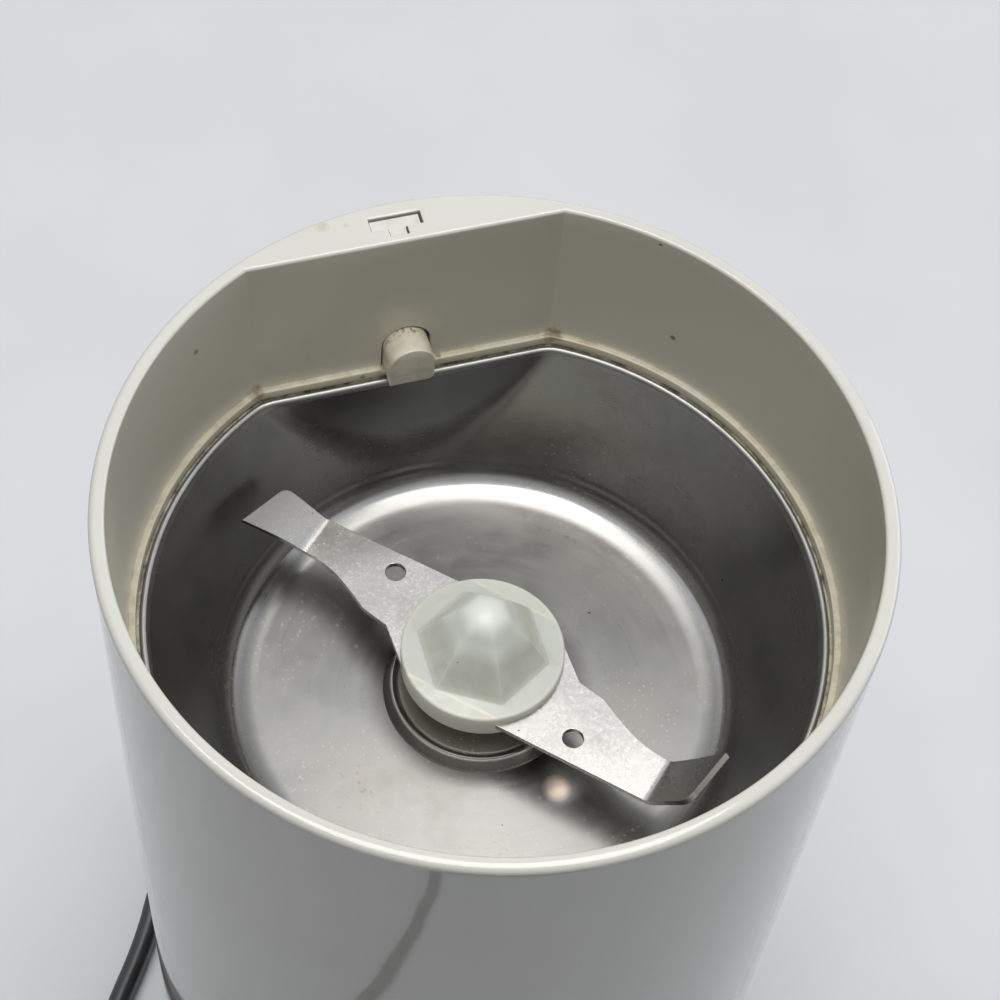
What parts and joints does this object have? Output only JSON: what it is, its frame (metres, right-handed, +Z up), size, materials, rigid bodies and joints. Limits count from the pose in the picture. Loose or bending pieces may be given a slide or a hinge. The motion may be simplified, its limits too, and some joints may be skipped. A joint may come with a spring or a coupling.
{
  "type": "electric spice grinder",
  "caption": "Cylindrical electric blade grinder with a D-shaped mouth, steel bowl, bent two-armed blade on a translucent hub, lid-operated switch, interlock button and flat mains cord.",
  "frame": {"origin": "on the table, under the axis of the round housing and its motor shaft", "axes": "+Z up along the shaft; +Y towards the flat side of the mouth, where the switch is; +X to the right of it"},
  "size_m": [0.1086, 0.2467, 0.155],
  "materials": {
    "shell_plastic": "glossy cream-white ABS, slightly yellowed on its ledge",
    "button_plastic": "smooth moulded plastic",
    "plunger_plastic": "satin acetal",
    "bowl_steel": "drawn stainless sheet, turned and worn by use",
    "blade_steel": "ground stainless strip",
    "hub_nylon": "translucent natural nylon",
    "shaft_steel": "ground",
    "seal_rubber": "soft",
    "cup_steel": "pressed stainless",
    "carrier_plastic": "glass-filled nylon",
    "zinc_steel": "zinc plated",
    "bush_bronze": "sintered, oiled",
    "damper_rubber": "soft",
    "lamination_steel": "stacked laminations",
    "winding_copper": "enamelled copper wire",
    "commutator_copper": "turned copper",
    "fan_plastic": "moulded",
    "shield_plastic": "glass-filled nylon",
    "holder_brass": "pressed",
    "brush_carbon": "carbon",
    "spring_steel": "drawn wire",
    "switch_plastic": "moulded",
    "lever_steel": "spring sheet",
    "pin_plastic": "moulded",
    "base_plastic": "moulded ABS",
    "foot_rubber": "soft",
    "capacitor_case": "moulded box",
    "cord_vinyl": "flexible PVC",
    "plug_vinyl": "moulded PVC",
    "pin_nickel": "nickel plated"
  },
  "bodies": {
    "stand": {"housing": "shell_plastic", "bowl": "bowl_steel", "shaft_seal": "seal_rubber", "seal_cup": "cup_steel", "motor_carrier": "carrier_plastic", "carrier_screws": "zinc_steel", "upper_bracket": "zinc_steel", "upper_bearing": "bush_bronze", "lower_bearing": "bush_bronze", "motor_dampers": "damper_rubber", "stator_core": "lamination_steel", "field_coils": "winding_copper", "end_shield": "shield_plastic", "motor_bolts": "zinc_steel", "brush_holders": "holder_brass", "brushes": "brush_carbon", "brush_springs": "spring_steel", "switch_bracket": "zinc_steel", "bracket_screws": "zinc_steel", "microswitch": "switch_plastic", "switch_screws": "zinc_steel", "plunger_spring": "spring_steel", "interlock_spring": "spring_steel", "base_plate": "base_plastic", "base_screws": "zinc_steel", "feet": "foot_rubber", "capacitor": "capacitor_case", "strain_relief": "cord_vinyl", "cord": "cord_vinyl", "cord_coil": "cord_vinyl", "cord_tail": "cord_vinyl", "plug_body": "plug_vinyl", "plug_pins": "pin_nickel"},
    "spindle": {"shaft": "shaft_steel", "hub": "hub_nylon", "blade": "blade_steel", "armature_core": "lamination_steel", "armature_winding": "winding_copper", "commutator": "commutator_copper", "fan": "fan_plastic"},
    "plunger_body": {"plunger": "plunger_plastic"},
    "button_body": {"interlock_button": "button_plastic"},
    "lever_body": {"switch_lever": "lever_steel"},
    "pin_body": {"switch_pin": "pin_plastic"}
  },
  "joints": [
    {"name": "spindle_spin", "type": "hinge", "parent": "stand", "child": "spindle", "pos_m": [0, 0, 0.1], "axis": [0, 0, 1], "continuous": true},
    {"name": "plunger_slide", "type": "slide", "parent": "stand", "child": "plunger_body", "axis": [0, 0, -1], "range_m": [0, 0.003], "stiffness_N_per_m": 200, "springref_m": -0.003, "deforming": ["plunger_spring"]},
    {"name": "button_slide", "type": "slide", "parent": "stand", "child": "button_body", "axis": [0, 1, 0], "range_m": [0, 0.002], "stiffness_N_per_m": 150, "springref_m": -0.002, "deforming": ["interlock_spring"]},
    {"name": "lever_turn", "type": "hinge", "parent": "stand", "child": "lever_body", "pos_m": [-0.0165, 0.0344, 0.0892], "axis": [0, 1, 0], "range_deg": [0, 10.85]},
    {"name": "pin_slide", "type": "slide", "parent": "stand", "child": "pin_body", "axis": [0, 0, -1], "range_m": [0, 0.00152]}
  ],
  "couplings": [
    {"joint": "lever_turn", "follows": "plunger_slide", "rad_per_m": 62.893},
    {"joint": "pin_slide", "follows": "plunger_slide", "ratio": 0.50314}
  ]
}
